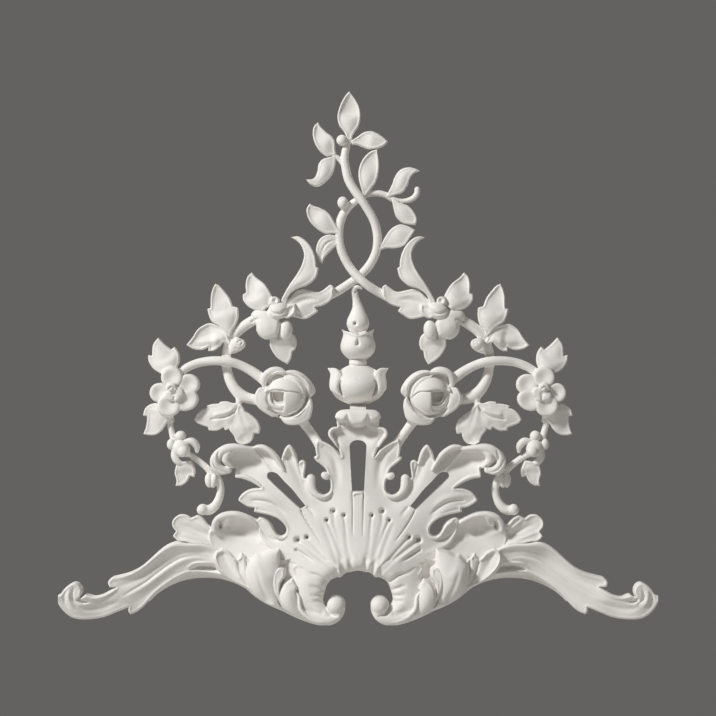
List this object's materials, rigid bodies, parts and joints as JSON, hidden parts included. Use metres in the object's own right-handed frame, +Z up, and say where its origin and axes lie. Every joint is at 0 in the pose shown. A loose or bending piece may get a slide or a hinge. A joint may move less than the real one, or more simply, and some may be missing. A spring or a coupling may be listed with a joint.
{
  "type": "relief ornament",
  "caption": "Flat-backed carved wall ornament: twining vines with leaves, roses and a finial rising from a fluted shell between two scrolled arms.",
  "frame": {"origin": "on the flat back, behind the middle of the shell, where the ornament is fixed to the wall", "axes": "+X along the wall, +Z up, +Y into the wall; the carving faces -Y"},
  "size_m": [0.5968, 0.057, 0.5308],
  "materials": {
    "plaster": "matte"
  },
  "bodies": {
    "root": {"ornament": "plaster"}
  },
  "joints": []
}
